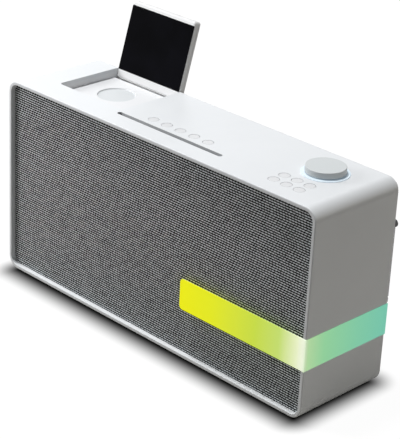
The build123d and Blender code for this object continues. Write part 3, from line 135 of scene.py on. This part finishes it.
class Finish:
    """A material under construction: its shader, and short calls that add the nodes it needs."""

    def __init__(self, name, colour, roughness, **values):
        self.material = bpy.data.materials.new(name)
        self.material.use_nodes = True
        self.tree = self.material.node_tree
        self.shader = self.tree.nodes["Principled BSDF"]
        self.shader.inputs["Base Color"].default_value = (*colour, 1.0)
        self.shader.inputs["Roughness"].default_value = roughness
        for label, value in values.items():
            self.shader.inputs[label.replace("_", " ")].default_value = value
        self.place = self.tree.nodes.new("ShaderNodeTexCoord").outputs["Object"]

    def wire(self, output, socket):
        """Wires an output to a socket."""
        self.tree.links.new(output, socket)

    def maths(self, operation, *values):
        """Gives the result of one operation on outputs or numbers."""
        return maths(self.tree, operation, *values)

    def axes(self):
        """Gives x, y and z of the point in the piece."""
        split = self.tree.nodes.new("ShaderNodeSeparateXYZ")
        self.wire(self.place, split.inputs[0])
        return split.outputs

    def join(self, x, y):
        """Makes a place of two numbers, with z at 0."""
        node = self.tree.nodes.new("ShaderNodeCombineXYZ")
        for socket, value in zip(node.inputs, (x, y)):
            feed(self.tree, socket, value)
        return node.outputs[0]

    def stretched(self, x, y, z):
        """Gives the place with each axis scaled, for patterns with a direction."""
        node = self.tree.nodes.new("ShaderNodeMapping")
        node.inputs["Scale"].default_value = (x, y, z)
        self.wire(self.place, node.inputs["Vector"])
        return node.outputs[0]

    def noise(self, scale, detail=2.0, rough=0.5, place=None):
        """Gives soft noise from 0 to 1."""
        node = self.tree.nodes.new("ShaderNodeTexNoise")
        node.inputs["Scale"].default_value = scale
        node.inputs["Detail"].default_value = detail
        node.inputs["Roughness"].default_value = rough
        self.wire(place or self.place, node.inputs["Vector"])
        return node.outputs["Fac"]

    def grains(self, place):
        """Gives a number from 0 to 1 that differs from place to place."""
        node = self.tree.nodes.new("ShaderNodeTexWhiteNoise")
        node.noise_dimensions = "3D"
        self.wire(place, node.inputs["Vector"])
        return node.outputs["Value"]

    def humps(self, value):
        """Gives a row of round humps, one for each whole number."""
        return self.maths("ABSOLUTE", self.maths("SINE", self.maths("MULTIPLY", value, math.pi)))

    def range(self, value, low, high, to_low, to_high):
        """Maps one range of numbers to another."""
        node = self.tree.nodes.new("ShaderNodeMapRange")
        labels = ("From Min", "From Max", "To Min", "To Max")
        for label, number in zip(labels, (low, high, to_low, to_high)):
            node.inputs[label].default_value = number
        self.wire(value, node.inputs["Value"])
        return node.outputs["Result"]

    def ramp(self, value, *stops):
        """Turns a number into a colour, by stops of position and colour."""
        node = self.tree.nodes.new("ShaderNodeValToRGB")
        points = node.color_ramp.elements
        while len(points) < len(stops):
            points.new(0.5)
        for point, (position, colour) in zip(points, stops):
            point.position = position
            point.color = (*colour, 1.0)
        self.wire(value, node.inputs["Fac"])
        return node.outputs["Color"]

    def tint(self, output):
        """Takes the colour from an output."""
        self.wire(output, self.shader.inputs["Base Color"])

    def glow(self, colour, strength):
        """Adds light of its own in a colour or an output's colour."""
        feed(self.tree, self.shader.inputs["Emission Color"], colour)
        self.shader.inputs["Emission Strength"].default_value = strength

    def rough(self, output, low, high):
        """Varies the roughness with noise."""
        self.wire(self.range(output, 0.3, 0.7, low, high), self.shader.inputs["Roughness"])

    def bump(self, height, strength, distance):
        """Adds a relief, on top of any that is there already."""
        node = self.tree.nodes.new("ShaderNodeBump")
        node.inputs["Strength"].default_value = strength
        node.inputs["Distance"].default_value = distance
        self.wire(height, node.inputs["Height"])
        last = self.shader.inputs["Normal"]
        if last.is_linked:
            self.wire(last.links[0].from_socket, node.inputs["Normal"])
        self.wire(node.outputs["Normal"], last)


def moulded(name, colour, roughness, grain=2600.0, depth=0.012, shift=0.03):
    """Moulded plastic: a faint cast in its colour, uneven gloss and a fine texture."""
    f = Finish(name, colour, roughness)
    darker = [c * (1 - shift) for c in colour]
    lighter = [min(c * (1 + shift / 2), 1.0) for c in colour]
    f.tint(f.ramp(f.noise(9.0, 3.0), (0.3, darker), (0.7, lighter)))
    f.rough(f.noise(60.0, 3.0), roughness * 0.9, roughness * 1.12)
    f.bump(f.noise(grain, 2.0), 0.25, depth * MM)
    return f.material


def drawn_metal(name, colour, roughness, lines=(60.0, 60.0, 2600.0)):
    """Metal with fine drawn lines along it and a few duller patches."""
    f = Finish(name, colour, roughness, Metallic=1.0)
    hair = f.noise(1.0, 3.0, 0.6, f.stretched(*lines))
    duller = [c * 0.86 for c in colour]
    f.tint(f.ramp(f.noise(35.0, 3.0), (0.3, duller), (0.7, colour)))
    f.rough(hair, roughness * 0.75, roughness * 1.3)
    f.bump(hair, 0.15, 0.01 * MM)
    return f.material


def rubber_finish(name, colour):
    """Dull rubber with a fine bloom."""
    f = Finish(name, colour, 0.8)
    darker = [c * 0.8 for c in colour]
    lighter = [c * 1.3 for c in colour]
    f.tint(f.ramp(f.noise(120.0, 4.0), (0.3, darker), (0.75, lighter)))
    f.rough(f.noise(300.0, 3.0), 0.7, 0.92)
    f.bump(f.noise(1500.0, 3.0), 0.4, 0.03 * MM)
    return f.material


def woven_cloth():
    """Ribbed weave: ribs across with painted light on their crests and painted shade in the
    near-black gaps between them, and stitches of uneven grey.
    """
    f = Finish("grille_weave", (0.15, 0.15, 0.155), 0.92, Specular_IOR_Level=0.1)
    x, _, z = f.axes()
    across = f.maths("MULTIPLY", x, 1000 / STITCH_PITCH)
    along = f.maths("MULTIPLY", z, 1000 / RIB_PITCH)
    row = f.maths("FLOOR", along)
    wander = f.maths("ADD", f.noise(160.0, 2.0), f.grains(f.join(0.0, row)))
    shifted = f.maths("ADD", across, f.maths("MULTIPLY_ADD", row, 0.5, wander))
    column = f.maths("FLOOR", shifted)
    rib = f.humps(along)
    stitch = f.humps(shifted)
    fullness = f.maths("MULTIPLY_ADD", f.maths("POWER", stitch, 0.8), 0.6, 0.42)
    # painted light and shade: each rib runs from near-black at its gaps to bright at its crest
    arch = f.maths("MULTIPLY", f.maths("POWER", rib, 2.4), fullness)
    yarn = f.grains(f.join(column, row))
    slub = f.noise(1.0, 3.0, 0.6, f.stretched(60.0, 60.0, 420.0))
    mottle = f.maths("ADD", f.maths("MULTIPLY", yarn, 0.6), f.maths("MULTIPLY", slub, 0.4))
    shade_and_tone = f.maths("MULTIPLY", arch, f.maths("MULTIPLY_ADD", mottle, 0.5, 0.76))
    # painted shade in the gaps, the thread's own grey, and a painted highlight on the crests
    gap, thread, lit_crest = (0.002, 0.002, 0.002), (0.46, 0.49, 0.505), (0.80, 0.86, 0.885)
    f.tint(f.ramp(shade_and_tone, (0.38, gap), (0.58, thread), (0.80, lit_crest)))
    f.bump(rib, 0.3, 0.15 * MM)
    return f.material


def band_print():
    """Printed film: yellow at its left end, lime, a painted highlight as a pale flash at the corner,
    then mint; the film also glows as painted light.
    """
    f = Finish("band_print", (0.7, 0.8, 0.2), 0.34, Specular_IOR_Level=0.12)
    x, y, _ = f.axes()
    run = f.range(f.maths("ADD", x, y), BAND_START, BAND_END, 0.0, 1.0)
    print_and_highlight = f.ramp(
        run,
        (0.0, (0.80, 0.79, 0.002)),
        (0.16, (0.74, 0.78, 0.012)),
        (0.36, (0.56, 0.70, 0.06)),
        (0.47, (0.55, 0.72, 0.16)),
        # painted highlight: the pale flash where the band turns the corner
        (0.545, (0.80, 0.88, 0.55)),
        (0.575, (0.88, 0.93, 0.76)),
        (0.60, (0.50, 0.80, 0.42)),
        (0.68, (0.33, 0.75, 0.40)),
        (0.85, (0.25, 0.70, 0.46)),
        (1.0, (0.20, 0.66, 0.50)),
    )
    f.tint(print_and_highlight)
    # painted light: the printed film glows, though it is no lamp
    f.glow(print_and_highlight, 0.55)
    f.rough(f.noise(200.0, 2.0), 0.28, 0.4)
    f.bump(f.noise(900.0, 2.0), 0.1, 0.01 * MM)
    return f.material


def bay_white():
    """The bay's white moulding, with painted shade: grey over the round dish, white beyond it."""
    white = (0.72, 0.73, 0.745)
    f = Finish("bay_white", white, 0.45)
    x, y, _ = f.axes()
    across = f.maths("POWER", f.maths("SUBTRACT", x, DISH_X), 2.0)
    along = f.maths("POWER", f.maths("SUBTRACT", y, DISH_Y), 2.0)
    reach = f.range(f.maths("SQRT", f.maths("ADD", across, along)), 0.0, DISH_SPAN, 0.0, 1.0)
    # painted shade: grey over the round dish, fading to the bay's white
    f.tint(f.ramp(reach, (0.80, (0.60, 0.625, 0.64)), (0.90, white)))
    f.rough(f.noise(60.0, 3.0), 0.4, 0.5)
    f.bump(f.noise(2600.0, 2.0), 0.25, 0.012 * MM)
    return f.material


def lit_ring():
    """Frosted ring that glows pale blue."""
    f = Finish("ring_glow", (0.62, 0.70, 0.76), 0.45)
    f.tint(f.ramp(f.noise(150.0, 2.0), (0.3, (0.60, 0.68, 0.745)), (0.7, (0.64, 0.72, 0.775))))
    f.rough(f.noise(500.0, 2.0), 0.38, 0.5)
    f.glow((0.62, 0.82, 1.0, 1.0), 0.13)
    return f.material


def screen_glass():
    """Black glass with a faint unevenness in its depth and a few smears."""
    f = Finish("screen_glass", (0.002, 0.002, 0.003), 0.06, Specular_IOR_Level=0.03)
    f.tint(f.ramp(f.noise(30.0, 2.0), (0.35, (0.0012, 0.0012, 0.002)), (0.7, (0.003, 0.003, 0.005))))
    f.rough(f.noise(45.0, 4.0, 0.6), 0.04, 0.11)
    return f.material


def circuit_laminate():
    """Green laminate with lighter copper runs."""
    f = Finish("circuit_laminate", (0.03, 0.20, 0.09), 0.42)
    runs = f.noise(1.0, 1.0, 0.5, f.stretched(900.0, 900.0, 120.0))
    f.tint(f.ramp(runs, (0.46, (0.02, 0.15, 0.065)), (0.54, (0.05, 0.28, 0.13))))
    f.bump(runs, 0.3, 0.03 * MM)
    return f.material


coarse = {"grain": 1500.0, "depth": 0.03}
finishes = {
    "cabinet": moulded("cabinet_white", (0.70, 0.72, 0.74), 0.42),
    "display_shell": moulded("display_white", (0.74, 0.745, 0.75), 0.36),
    "bay": bay_white(),
    "button": moulded("button_white", (0.66, 0.67, 0.685), 0.4),
    "dial": moulded("dial_white", (0.56, 0.59, 0.60), 0.42),
    "cover": moulded("cover_grey", (0.34, 0.345, 0.35), 0.55, **coarse),
    "dark": moulded("dark_moulding", (0.025, 0.025, 0.028), 0.5, shift=0.2, **coarse),
    "frame": moulded("frame_moulding", (0.03, 0.03, 0.033), 0.6, shift=0.2, **coarse),
    "mechanism": moulded("mechanism_moulding", (0.045, 0.045, 0.05), 0.48, shift=0.2),
    "foot": rubber_finish("foot_rubber", (0.035, 0.035, 0.036)),
    "roller": rubber_finish("roller_rubber", (0.05, 0.05, 0.052)),
    "surround": rubber_finish("surround_rubber", (0.02, 0.02, 0.02)),
    "cone": rubber_finish("cone_pulp", (0.06, 0.06, 0.06)),
    "magnet": drawn_metal("magnet_yoke", (0.22, 0.22, 0.23), 0.5),
    "screw": drawn_metal("screw_zinc", (0.45, 0.45, 0.46), 0.34),
    "pin": drawn_metal("pin_steel", (0.62, 0.62, 0.64), 0.22, lines=(2600.0, 60.0, 60.0)),
    "sheet": drawn_metal("sheet_zinc", (0.56, 0.57, 0.59), 0.36, lines=(60.0, 60.0, 1400.0)),
    "can": drawn_metal("motor_can", (0.48, 0.48, 0.5), 0.3),
    "aerial": drawn_metal("aerial_chrome", (0.20, 0.20, 0.205), 0.2, lines=(900.0, 900.0, 40.0)),
    "ring": lit_ring(),
    "band": band_print(),
    "glass": screen_glass(),
    "laminate": circuit_laminate(),
    "weave": woven_cloth(),
}

dress = {
    "cabinet": ["cabinet_sleeve"],
    "display_shell": ["display_back_cover"],
    "bay": ["display_bay"],
    "dial": ["volume_dial"],
    "cover": ["rear_cover"],
    "dark": ["front_baffle", "mains_inlet", "audio_jack", "aerial_knuckle", "lcd_panel"],
    "frame": ["grille_frame"],
    "mechanism": ["encoder_plunger", "disc_clamper", "laser_sled", "turntable"],
    "foot": ["rubber_feet"],
    "roller": ["feed_roller_sleeves"],
    "surround": ["speaker_surround_left", "speaker_surround_right"],
    "cone": ["speaker_cone_left", "speaker_cone_right"],
    "magnet": ["speaker_magnet_left", "speaker_magnet_right"],
    "screw": ["rear_cover_screws", "speaker_screws"],
    "pin": ["display_hinge_pins", "encoder_shaft", "feed_roller_shaft", "sled_rods", "lead_screw"],
    "sheet": ["cd_chassis", "cd_clamp_plate", "drive_plate", "speaker_basket_left",
              "speaker_basket_right"],
    "can": ["encoder_body", "feed_motor", "sled_motor", "spindle_motor"],
    "aerial": ["aerial_tube", "aerial_middle_section", "aerial_tip_section"],
    "ring": ["light_ring"],
    "band": ["corner_band"],
    "glass": ["display_glass"],
    "laminate": ["button_board", "main_board", "power_supply"],
    "button": [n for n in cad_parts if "_button_" in n],
}
for finish, nodes in dress.items():
    for name in nodes:
        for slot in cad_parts[name].material_slots:
            slot.material = finishes[finish]


def piece(name, shape, material):
    """Turns a finished bmesh into an object in the scene."""
    mesh = bpy.data.meshes.new(name)
    shape.to_mesh(mesh)
    shape.free()
    mesh.materials.append(material)
    item = bpy.data.objects.new(name, mesh)
    scene.collection.objects.link(item)
    return item


def stretched_cloth():
    """The grille's cloth: a rounded panel whose edge rolls back over the frame."""
    low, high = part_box("grille_cloth")
    middle = (low + high) / 2
    size = high - low
    shape = bmesh.new()
    bmesh.ops.create_grid(shape, x_segments=1, y_segments=1, size=0.5)
    bmesh.ops.scale(shape, verts=shape.verts, vec=(size.x, size.z, 1.0))
    bmesh.ops.bevel(shape, geom=shape.verts, affect="VERTICES", offset=CLOTH_CORNER, segments=8,
                    profile=0.5, material=-1)
    for width, rise in CLOTH_ROLL:
        panel = max(shape.faces, key=lambda face: face.calc_area())
        bmesh.ops.inset_region(shape, faces=[panel], thickness=width, depth=rise,
                               use_even_offset=True)
    upright = Matrix.Rotation(math.radians(90), 3, "X")
    bmesh.ops.rotate(shape, verts=shape.verts, matrix=upright)
    front = min(v.co.y for v in shape.verts)
    bmesh.ops.translate(shape, verts=shape.verts, vec=(middle.x, low.y - front, middle.z))
    cloth = piece("stretched_cloth", shape, finishes["weave"])
    wall = cloth.modifiers.new("thickness", "SOLIDIFY")
    wall.thickness = CLOTH_THICKNESS
    wall.offset = -1.0
    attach(cloth, "cabinet")
    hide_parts("grille_cloth")


stretched_cloth()


# Studio: white surroundings, pale floor, soft overhead light, weaker light from front and side
def split_by_ray(tree, seen, lit):
    """Joins what the camera and reflections see with what lights the object."""
    path = tree.nodes.new("ShaderNodeLightPath")
    direct = maths(tree, "MAXIMUM", path.outputs["Is Camera Ray"], path.outputs["Is Glossy Ray"])
    either = maths(tree, "MAXIMUM", direct, path.outputs["Is Transmission Ray"])
    mix = tree.nodes.new("ShaderNodeMixShader")
    for socket, output in zip(mix.inputs, (either, lit, seen)):
        tree.links.new(output, socket)
    return mix.outputs[0]


def studio_world():
    """Plain white where it is seen, and only a faint light on the object."""
    world = bpy.data.worlds.new("studio")
    world.use_nodes = True
    tree = world.node_tree
    soft = tree.nodes["Background"]
    soft.inputs["Color"].default_value = (0.97, 0.985, 1.0, 1.0)
    soft.inputs["Strength"].default_value = 0.11
    white = tree.nodes.new("ShaderNodeBackground")
    white.inputs["Color"].default_value = (1.0, 1.0, 1.0, 1.0)
    white.inputs["Strength"].default_value = 1.0
    surface = split_by_ray(tree, white.outputs[0], soft.outputs[0])
    tree.links.new(surface, tree.nodes["World Output"].inputs["Surface"])
    scene.world = world


def contact_shade(tree):
    """Dark under the cabinet, and fading to white within the shade's reach."""
    place = tree.nodes.new("ShaderNodeTexCoord").outputs["Object"]
    split = tree.nodes.new("ShaderNodeSeparateXYZ")
    tree.links.new(place, split.inputs[0])
    low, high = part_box("cabinet_sleeve")
    gaps = []
    for axis, inset, steepness in SHADE_EDGES:
        middle = (low[axis] + high[axis]) / 2
        half = (high[axis] - low[axis]) / 2 - inset
        away = maths(tree, "ABSOLUTE", maths(tree, "SUBTRACT", split.outputs[axis], middle))
        outside = maths(tree, "MAXIMUM", maths(tree, "SUBTRACT", away, half), 0.0)
        gaps.append(maths(tree, "POWER", maths(tree, "MULTIPLY", outside, steepness), 2.0))
    gap = maths(tree, "SQRT", maths(tree, "ADD", *gaps))
    span = tree.nodes.new("ShaderNodeMapRange")
    span.interpolation_type = "SMOOTHSTEP"
    span.inputs["From Max"].default_value = SHADE_REACH
    tree.links.new(gap, span.inputs["Value"])
    return span.outputs["Result"]


def studio_floor():
    """Near white with a contact shade where it is seen, and grey where it lights the object."""
    material = bpy.data.materials.new("floor_white")
    material.use_nodes = True
    tree = material.node_tree
    tree.nodes.remove(tree.nodes["Principled BSDF"])
    shade = contact_shade(tree)
    soft = tree.nodes.new("ShaderNodeVectorMath")
    soft.operation = "SCALE"
    soft.inputs["Scale"].default_value = FLOOR_LIT
    tree.links.new(shade, soft.inputs[0])
    pale = tree.nodes.new("ShaderNodeBsdfDiffuse")
    tree.links.new(soft.outputs[0], pale.inputs["Color"])
    glow = tree.nodes.new("ShaderNodeEmission")
    glow.inputs["Strength"].default_value = FLOOR_GLOW
    tree.links.new(shade, glow.inputs["Color"])
    white = tree.nodes.new("ShaderNodeAddShader")
    tree.links.new(pale.outputs[0], white.inputs[0])
    tree.links.new(glow.outputs[0], white.inputs[1])
    grey = tree.nodes.new("ShaderNodeBsdfDiffuse")
    grey.inputs["Color"].default_value = (0.32, 0.305, 0.28, 1.0)
    surface = split_by_ray(tree, white.outputs[0], grey.outputs[0])
    tree.links.new(surface, tree.nodes["Material Output"].inputs["Surface"])
    shape = bmesh.new()
    bmesh.ops.create_grid(shape, x_segments=1, y_segments=1, size=FLOOR_REACH)
    floor = piece("floor", shape, material)
    floor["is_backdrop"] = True


def soft_lamp(name, place, target, side, power, colour=(1.0, 1.0, 1.0)):
    """A square area lamp at a place, aimed at a target."""
    data = bpy.data.lights.new(name, "AREA")
    data.shape = "RECTANGLE"
    data.size = side
    data.size_y = side
    data.energy = power
    data.color = colour
    lamp = bpy.data.objects.new(name, data)
    aim = (Vector(target) - Vector(place)).to_track_quat("-Z", "Y")
    lamp.matrix_world = Matrix.Translation(Vector(place)) @ aim.to_matrix().to_4x4()
    scene.collection.objects.link(lamp)


studio_world()
studio_floor()
soft_lamp("overhead", (-0.90, -0.36, 3.9), (0.0, 0.0, 0.1), 0.6, 139.0)
soft_lamp("front", (-0.57, -0.40, 0.47), (-0.12, -0.05, 0.12), 0.3, 2.9)
soft_lamp("side", (1.35, 0.85, 0.45), (0.18, 0.0, 0.09), 0.5, 1.85, (1.0, 0.90, 0.72))

before, after = ([list(corner) for corner in limits] for limits in (cad_box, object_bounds()))
